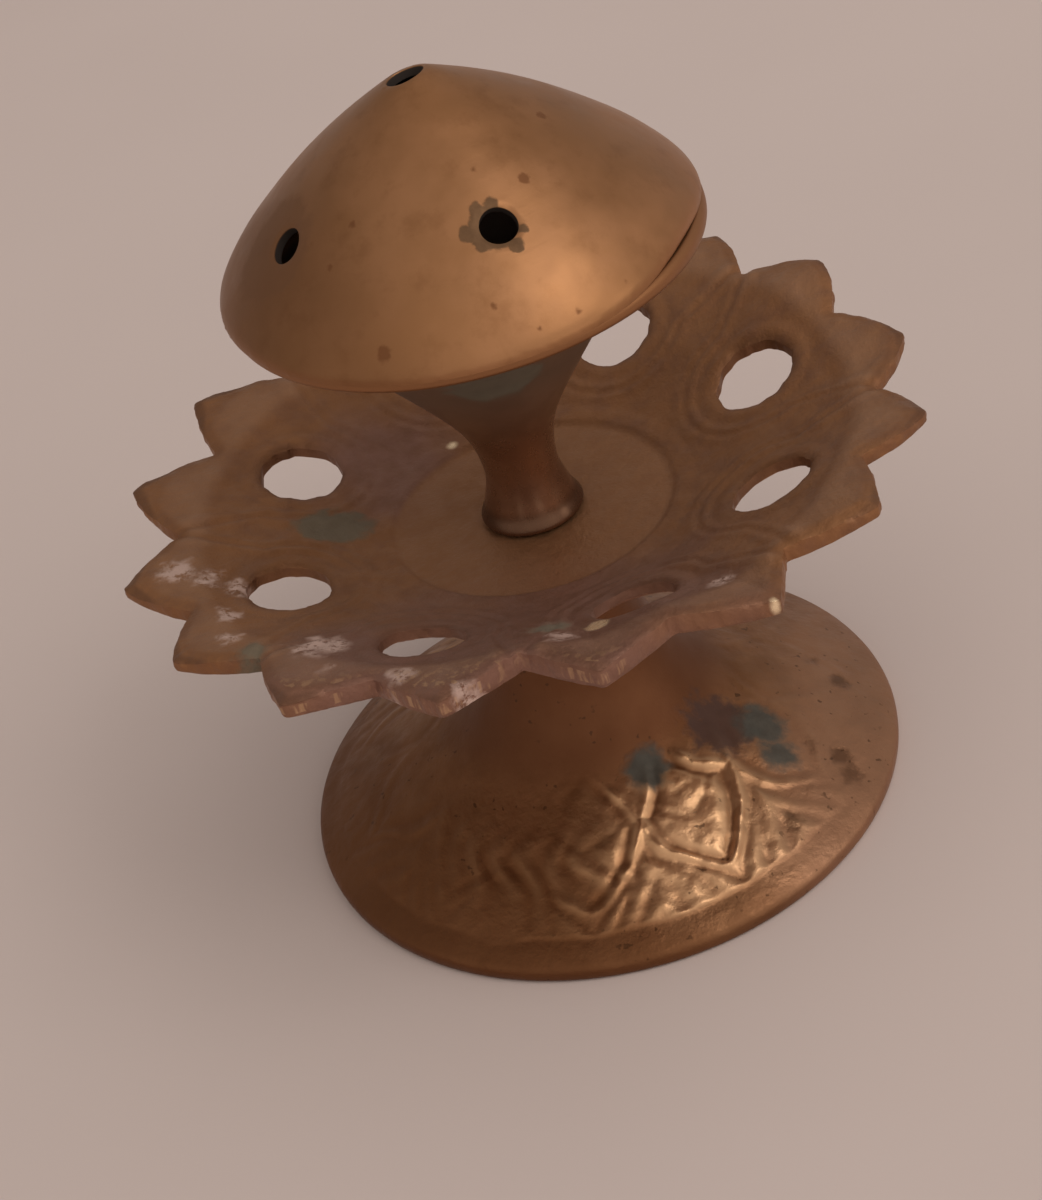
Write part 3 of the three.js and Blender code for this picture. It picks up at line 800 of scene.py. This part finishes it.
def foot_look():
    """Yellow brass under brown tarnish: rubbed back to pale brass on its crests, dark in hollows, green in
    a
    few spots. Painted light: a highlight on the front leaves, shade at the left and on the neck under the
    tray, and a paler reflection at the right.
    """
    look = Look("embossed_foot_brass")
    crest = look.crest()
    worn = look.ramp(crest, -0.05, 0.45)
    deep = look.ramp(crest, 0.0, -0.3)
    clouds = look.noise(7, 5, 0.6)
    # painted highlight: a pool of pale colour on the crests of the front leaves
    painted_highlight = look.spot((-72, 22, 5), 7.5, soft=5, ragged=3, grain=5)
    colour = look.mix(look.ramp(clouds, 0.35, 0.65), srgb(126, 84, 52), srgb(152, 106, 72))
    colour = look.tint(colour, worn, 0.8, 212, 168, 124)
    colour = look.mix(look.both(painted_highlight, look.ramp(crest, -0.25, 0.3, 0.1, 0.7)), colour, srgb(236, 190, 146))
    colour = look.tint(colour, deep, 0.6, 84, 52, 28)
    # painted shade: the foot's left side darkened
    left = look.ramp(look.along(-0.93, -0.37), 2, 24)
    colour = look.tint(colour, left, 0.75, 113, 72, 44)
    # painted reflection: the foot's right side made paler
    right = look.ramp(look.along(0.95, -0.3), 14, 24)
    colour = look.tint(colour, right, 0.5, 178, 138, 112)
    across = look.across()
    rim = look.both(look.ramp(across, 27.1, 27.7), look.ramp(look.along(-0.35, -0.94), 15, 23))
    colour = look.tint(colour, rim, 0.6, 106, 68, 42)
    # painted shade: the neck under the tray darkened
    neck = look.ramp(across, 16.5, 11.5)
    colour = look.tint(colour, neck, 0.85, 103, 61, 33)
    grains, patches = look.noise(0.9, 2, 0.5), look.noise(9, 2)
    speckle = look.both(look.ramp(grains, 0.66, 0.72), look.ramp(patches, 0.45, 0.6))
    colour = look.tint(colour, speckle, 0.6, 60, 38, 22)
    green = look.either(
        look.spot((-75, 14.3, 10.1), 2.1, 0.7, 1.0),
        look.spot((-31, 18.2, 7.8), 2.3, 0.9, 1.3, (1, 1, 0.6)),
        look.spot((-38, 20.8, 6.6), 1.8, 0.9, 1.3, (1, 1, 0.6)))
    mauve = look.spot((-40, 15.4, 9.5), 3.2, 1.0, 2.2, (1, 1, 0.6))
    colour = look.tint(colour, mauve, 0.9, 78, 54, 46)
    verdigris = look.mottled(1.1, (52, 50, 44), (88, 88, 80))
    colour = look.mix(look.both(green, 0.95), colour, verdigris)
    pits = look.either(
        look.spot((-5, 24.8, 4.4), 0.9, 0.6, 0.9),
        *[look.spot((azimuth, radius, 9.2 - radius * 0.2), size, 0.6, 0.9)
          for azimuth, radius, size in FOOT_PITS])
    colour = look.tint(colour, pits, 0.6, 78, 50, 32)
    crust = look.either(green, look.both(mauve, 0.6))
    metallic = look.blend(crust, look.blend(neck, 0.9, 0.72), 0.15)
    roughness = look.blend(crust, look.ramp(look.noise(2.2, 4), 0.3, 0.7, 0.36, 0.52), 0.8)
    roughness = look.blend(look.both(worn, 0.6), roughness, 0.3)
    roughness = look.blend(look.both(neck, 0.7), roughness, 0.52)
    skin = look.math("MULTIPLY", look.noise(1.4, 4, 0.6), look.ramp(neck, 0, 1, 1, 0.25))
    bumps = [(skin, 0.1), fine_bumps(look, 0.3, 0.015), (crust, 0.05), (pits, -0.08)]
    return look.finish(colour, metallic, roughness, bumps)


# azimuth, radius and size of pale scuffs on the tray
TRAY_SCUFFS = [(191, 28.6, 1.3), (183, 33.5, 1.5), (187, 31, 1.2), (200, 30.8, 1.1), (244, 33, 1.3),
               (208, 33, 0.9), (256, 36.2, 1.6), (268, 29.5, 1.3), (195, 36, 0.9), (232, 33, 0.8),
               (297, 30, 1.1)]


def tray_look():
    """Cast brass gone dull mauve brown, rubbed pale on its edges, with grey-green verdigris, painted shade
    on the walls of its holes and bore, and a few painted glints.
    """
    look = Look("lotus_tray_cast_brass")
    clouds = look.noise(9, 5, 0.6)
    mauve = look.either(
        look.spot((264, 26, 38), 16, 7, 9, grain=9),
        look.spot((235, 31, 38), 9, 5, 5, grain=7),
        look.spot((135, 18, 35), 7, 4, 5, grain=6))
    colour = look.mix(look.ramp(clouds, 0.3, 0.7), srgb(142, 98, 64), srgb(154, 108, 72))
    colour = look.mix(mauve, colour, srgb(142, 104, 88))
    colour = look.mix(look.ramp(look.noise(2.6, 4), 0.4, 0.7, 0, 0.5), colour, srgb(128, 90, 68))
    middle = look.ramp(look.across(), 13.8, 13.2)
    colour = look.tint(colour, middle, 0.7, 158, 114, 80)
    crest = look.crest()
    colour = look.mix(look.ramp(crest, 0.1, 0.5, 0, 0.35), colour, srgb(186, 146, 116))
    # darker where the relief is low (tarnish in hollows) and on the hole and bore walls (painted shade)
    colour = look.mix(look.ramp(crest, 0.0, -0.25, 0, 0.45), colour, srgb(92, 62, 46))
    green = look.either(
        look.spot((169, 19.2, 34.6), 3.2, 0.7, 1.6, (0.85, 1.3, 0.5), 1.6),
        look.spot((267, 26, 38.3), 1.7, 0.9, 1.4, (1, 1, 0.5)),
        look.spot((215, 33, 38.5), 1.4, 0.7, 1.3, (1, 1, 0.5)))
    verdigris = look.mottled(1.3, (84, 80, 66), (122, 114, 96))
    colour = look.mix(look.both(green, 0.85), colour, verdigris)
    scuffs = look.either(
        look.spot((224, 29.5, 38), 2.2, 1.0, 2.4, (1, 1, 0.4), 1.8),
        *[look.spot((azimuth, radius, 38.5), size, 0.7, 1.9, (1, 1, 0.4), 1.6)
          for azimuth, radius, size in TRAY_SCUFFS])
    scuffs = look.both(scuffs, look.ramp(look.noise(0.9, 4, 0.7), 0.36, 0.52))
    colour = look.tint(colour, scuffs, 0.85, 206, 178, 166)
    upright = look.vector("MULTIPLY", look.place, (1, 1, 0.2))
    strokes = look.ramp(look.noise(0.7, 2, at=upright), 0.5, 0.65)
    filed = look.both(look.ramp(crest, 0.119, 0.12), strokes)
    filed = look.both(filed, look.ramp(look.along(-0.3, -0.95), 30, 35))
    colour = look.tint(colour, filed, 0.6, 200, 160, 122)
    # painted glints: small spots paler than any brass, bright by their colour
    painted_glints = look.either(
        look.spot((275, 28.2, 39), 1.0, 0.3, 0.3, (1, 1, 0.4)),
        look.spot((297.5, 36.9, 39.4), 0.4, 0.3, 0.4, (1, 1, 0.5)),
        look.spot((114, 14.8, 34), 0.5, 0.3, 0.3))
    colour = look.mix(painted_glints, colour, srgb(255, 228, 188))
    metallic = look.blend(green, look.blend(scuffs, 0.66, 0.3), 0.1)
    roughness = look.blend(green, look.ramp(look.noise(1.8, 4), 0.3, 0.7, 0.42, 0.6), 0.85)
    roughness = look.blend(painted_glints, roughness, 0.2)
    bumps = [(look.noise(1.1, 5, 0.65), 0.16), fine_bumps(look, 0.3, 0.03), (green, 0.08), (scuffs, 0.05)]
    return look.finish(colour, metallic, roughness, bumps)


def holder_look():
    """Turned brass gone dark brown and glossy from handling, sooty under the cap, with painted shade low on
    its base.
    """
    look = Look("turned_dark_brass")
    clouds = look.noise(5, 4, 0.6)
    height = look.add("ShaderNodeSeparateXYZ", [("Vector", look.place)]).outputs["Z"]
    soot = look.ramp(height, 42, 54)
    colour = look.mix(look.ramp(clouds, 0.35, 0.7), srgb(132, 96, 72), srgb(150, 112, 86))
    colour = look.tint(colour, soot, 0.75, 96, 80, 68)
    # painted shade: the bottom of the stem darkened where it stands on the tray
    colour = look.mix(look.ramp(height, 35.8, 34.6, 0, 0.7), colour, srgb(84, 58, 42))
    lip = look.ramp(height, 60.6, 61.2)
    colour = look.mix(lip, colour, srgb(150, 104, 68))
    bloom = look.spot((-92, 12.5, 56.2), 4.4, 0.7, 1.8, (1, 0.9, 0.9), 2.5)
    verdigris = look.mottled(1.6, (94, 92, 80), (118, 114, 98))
    colour = look.mix(look.both(bloom, 0.8), colour, verdigris)
    metallic = look.blend(bloom, look.blend(lip, look.blend(soot, 0.75, 0.2), 0.8), 0.2)
    roughness = look.blend(soot, look.ramp(look.noise(1.5, 4), 0.3, 0.7, 0.24, 0.32), 0.45)
    roughness = look.blend(bloom, roughness, 0.65)
    bumps = [(look.noise(4, 2), 0.03), fine_bumps(look, 0.9, 0.002), (bloom, 0.03)]
    return look.finish(colour, metallic, roughness, bumps)


CAP_HOLE_SLOPE = math.radians(40)  # of the cap's side at its stick holes
CAP_HOLE_HEIGHT = 70.5
# places (sideways and up from the front hole) and sizes of the residue's lobes
CAP_RESIDUE = [(-2.6, 0.1, 0.8), (-1.8, -0.9, 0.8), (-1.2, 1.9, 0.7), (0.3, 2.0, 0.6), (0.5, -2.2, 0.7),
               (1.6, -1.2, 0.5)]
# azimuth, radius, height and size of small brown dots on the cap
CAP_DOTS = [(-58, 12.3, 72, 0.5), (-20, 10.1, 73.7, 0.4), (-74, 10.1, 73.7, 0.2), (-134, 15.6, 69.4, 0.25),
            (-86, 19.1, 66.2, 0.25), (-78, 21.1, 64, 0.2), (-68, 21.1, 64, 0.2), (-130, 12.6, 71.9, 0.3),
            (-54, 21.1, 64, 0.2), (60, 16, 69.1, 0.4), (100, 19, 66.3, 0.3), (150, 12, 72.3, 0.4)]


def beside_front_hole(sideways, up):
    """The azimuth, radius and height of a point of the cap, given in mm from its front hole's centre."""
    azimuth, radius = CAP_HOLES[0]
    return (azimuth + math.degrees(sideways / radius), radius - up * math.cos(CAP_HOLE_SLOPE),
            CAP_HOLE_HEIGHT + up * math.sin(CAP_HOLE_SLOPE))


def cap_look():
    """Satin spun brass with brown spots, and residue or smoke at its two visible stick holes. Its left
    side is darker, partly tarnish and partly painted shade.
    """
    look = Look("spun_cap_brass")
    clouds = look.noise(8, 5, 0.55)
    colour = look.mix(look.ramp(clouds, 0.3, 0.7), srgb(164, 118, 80), srgb(178, 130, 92))
    tarnish = look.ramp(look.noise(3.2, 5, 0.65), 0.5, 0.72, 0, 0.35)
    colour = look.mix(tarnish, colour, srgb(140, 96, 62))
    sticky = look.either(
        look.spot(beside_front_hole(-0.5, 0), 2.0, 0.15, 0.4, grain=1.0),
        *[look.spot(beside_front_hole(sideways, up), size, 0.12, 0.4, grain=0.8)
          for sideways, up, size in CAP_RESIDUE])
    residue = look.mottled(0.7, (76, 56, 38), (128, 98, 70))
    colour = look.mix(look.both(sticky, 0.9), colour, residue)
    smoke = look.spot((-163, 16, 69.2), 4.6, 0.7, 1.3, (1, 1, 0.8), 2)
    colour = look.tint(colour, smoke, 0.5, 96, 66, 44)
    # darker towards the left: partly tarnish, partly painted shade on the side away from the lights
    left = look.math("ADD", look.along(-0.93, -0.3), look.both(clouds, 3))
    colour = look.mix(look.ramp(left, 9, 18, 0, 0.55), colour, srgb(120, 82, 54))
    dots = look.either(
        look.spot((-114, 20.6, 64.6), 0.6, 0.2, 0.35, (1, 1, 0.75), 0.5),
        *[look.spot(place, size, 0.15, 0.25, (1, 1, 0.75), 0.5) for *place, size in CAP_DOTS])
    colour = look.tint(colour, dots, 0.8, 120, 76, 44)
    stain = look.either(sticky, look.either(smoke, dots))
    metallic = look.blend(stain, 0.97, 0.75)
    roughness = look.blend(stain, look.ramp(look.noise(4, 4), 0.3, 0.7, 0.36, 0.45), 0.55)
    spun = look.vector("MULTIPLY", look.place, (0.1, 0.1, 5))
    bumps = [(look.noise(1.0, 3, 0.5, at=spun), 0.006), (look.noise(6, 2), 0.12),
             fine_bumps(look, 0.35, 0.006), (sticky, 0.015)]
    inside = look.ramp(look.crest(), -0.1, -0.7)
    colour = look.mix(inside, colour, srgb(40, 30, 24))
    metallic = look.blend(inside, metallic, 0.1)
    roughness = look.blend(inside, roughness, 0.8)
    return look.finish(colour, metallic, roughness, bumps)


def steel_look():
    """Dull zinc-plated steel with a bloom of rust."""
    look = Look("dull_plated_steel")
    rust = look.ramp(look.noise(1.6, 5, 0.65), 0.55, 0.7, 0, 0.7)
    colour = look.mix(look.noise(0.8), srgb(150, 148, 142), srgb(182, 180, 172))
    colour = look.mix(rust, colour, srgb(120, 78, 50))
    roughness = look.blend(rust, look.ramp(look.noise(0.7, 3), 0.3, 0.7, 0.3, 0.5), 0.8)
    bumps = [fine_bumps(look, 0.25, 0.02), (rust, 0.03)]
    return look.finish(colour, look.blend(rust, 0.95, 0.3), roughness, bumps)


def paper_look():
    look = Look("plain_pale_floor")
    colour = look.mix(look.noise(60, 2), srgb(206, 192, 187), srgb(212, 198, 193))
    return look.finish(colour, 0.0, 0.9, [(look.noise(0.8, 3), 0.01)])


# -------------------- the burner


def place_piece(piece, material, body, node):
    piece.data.materials.clear()
    piece.data.materials.append(material)
    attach(piece, body)
    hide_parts(node)


def heights_of(node):
    low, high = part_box(node)
    return low.z / MM, high.z / MM


place_piece(make_foot(), foot_look(), "base", "foot")
place_piece(make_tray(), tray_look(), "base", "lotus_tray")
place_piece(make_holder(), holder_look(), "holder", "trumpet_holder")
place_piece(make_cap(), cap_look(), "cap", "dome_cap")
steel = steel_look()
place_piece(make_stud(*heights_of("tie_stud")), steel, "base", "tie_stud")
place_piece(make_washer(*heights_of("washer")), steel, "base", "washer")
place_piece(make_nut(*heights_of("hex_nut")), steel, "base", "hex_nut")

# -------------------- floor, light and camera


def make_floor():
    size = 3.0
    corners = [(-size, -size, 0), (size, -size, 0), (size, size, 0), (-size, size, 0)]
    floor = new_object("pale_floor", corners, [(0, 1, 2, 3)], smooth=False)
    floor.data.materials.append(paper_look())


def area_light(name, direction, distance, size, power, colour, glossy=True):
    """A round light that faces the burner from a direction."""
    towards = Vector(direction).normalized()
    lamp = bpy.data.lights.new(name, "AREA")
    lamp.shape = "DISK"
    lamp.size = size
    lamp.energy = power
    lamp.color = colour
    light = bpy.data.objects.new(name, lamp)
    light.location = Vector((0, 0, 0.04)) + towards * distance
    light.rotation_euler = towards.to_track_quat("Z", "Y").to_euler()
    light.visible_glossy = glossy
    bpy.context.scene.collection.objects.link(light)


def make_room():
    """A dim room: bright in front, darker at the right and behind, darkest at the left."""
    world = bpy.data.worlds.new("room")
    bpy.context.scene.world = world
    world.use_nodes = True
    nodes, links = world.node_tree.nodes, world.node_tree.links
    direction = nodes.new("ShaderNodeTexCoord").outputs["Generated"]

    def map_range(value, settings):
        node = nodes.new("ShaderNodeMapRange")
        links.new(value, node.inputs["Value"])
        for name, setting in settings:
            node.inputs[name].default_value = setting
        return node.outputs[0]

    def share_towards(x, y, z):
        dot = nodes.new("ShaderNodeVectorMath")
        dot.operation = "DOT_PRODUCT"
        dot.inputs[1].default_value = Vector((x, y, z)).normalized()
        links.new(direction, dot.inputs[0])
        return map_range(dot.outputs["Value"], [("From Min", -1)])

    ramp = nodes.new("ShaderNodeValToRGB")
    stops = [(0.22, (0.80, 0.72, 0.66, 1)), (0.4, (0.60, 0.54, 0.49, 1)), (0.6, (0.42, 0.37, 0.34, 1)),
             (0.97, (0.39, 0.36, 0.34, 1))]
    while len(ramp.color_ramp.elements) < len(stops):
        ramp.color_ramp.elements.new(0.5)
    for element, (position, colour) in zip(ramp.color_ramp.elements, stops):
        element.position = position
        element.color = colour
    links.new(share_towards(0.25, 0.97, 0), ramp.inputs["Fac"])
    strength = map_range(share_towards(1, 0, 0.2), [
        ("From Min", 0.1), ("From Max", 0.9), ("To Min", 0.7), ("To Max", 1.1)])
    links.new(ramp.outputs["Color"], nodes["Background"].inputs["Color"])
    links.new(strength, nodes["Background"].inputs["Strength"])


def make_lights():
    area_light("ceiling", (0.36, 0.0, 0.93), 1.4, 2.4, 4.9, (1.0, 0.92, 0.87), glossy=False)
    area_light("front_right_window", (0.52, -0.4, 0.75), 0.9, 0.5, 1.25, (1.0, 0.95, 0.9))
    area_light("low_front_lamp", (0.62, -0.78, 0.07), 0.9, 0.1, 0.16, (1.0, 0.95, 0.88))
    area_light("low_right_lamp", (0.88, -0.37, 0.3), 0.9, 0.16, 0.25, (1.0, 0.93, 0.84))
    make_room()


CAMERA_PLACE = Vector((0, -199.3, 168.8)) * MM
CAMERA_AIM = Vector((-3.6, 0, 23.2)) * MM
CAMERA_ROLL = math.radians(16.3)  # the burner leans to the left in the frame


def make_camera():
    camera = bpy.data.objects.new("camera", bpy.data.cameras.new("camera"))
    camera.data.lens = 76.44
    camera.data.sensor_width = 36
    camera.data.clip_start = 0.01
    camera.location = CAMERA_PLACE
    facing = (CAMERA_AIM - CAMERA_PLACE).to_track_quat("-Z", "Y").to_matrix()
    roll = Euler((0, 0, -CAMERA_ROLL)).to_matrix()
    camera.rotation_euler = (facing @ roll).to_euler()
    bpy.context.scene.collection.objects.link(camera)
    bpy.context.scene.camera = camera


make_floor()
make_lights()
make_camera()
bpy.context.scene.view_settings.view_transform = "Standard"
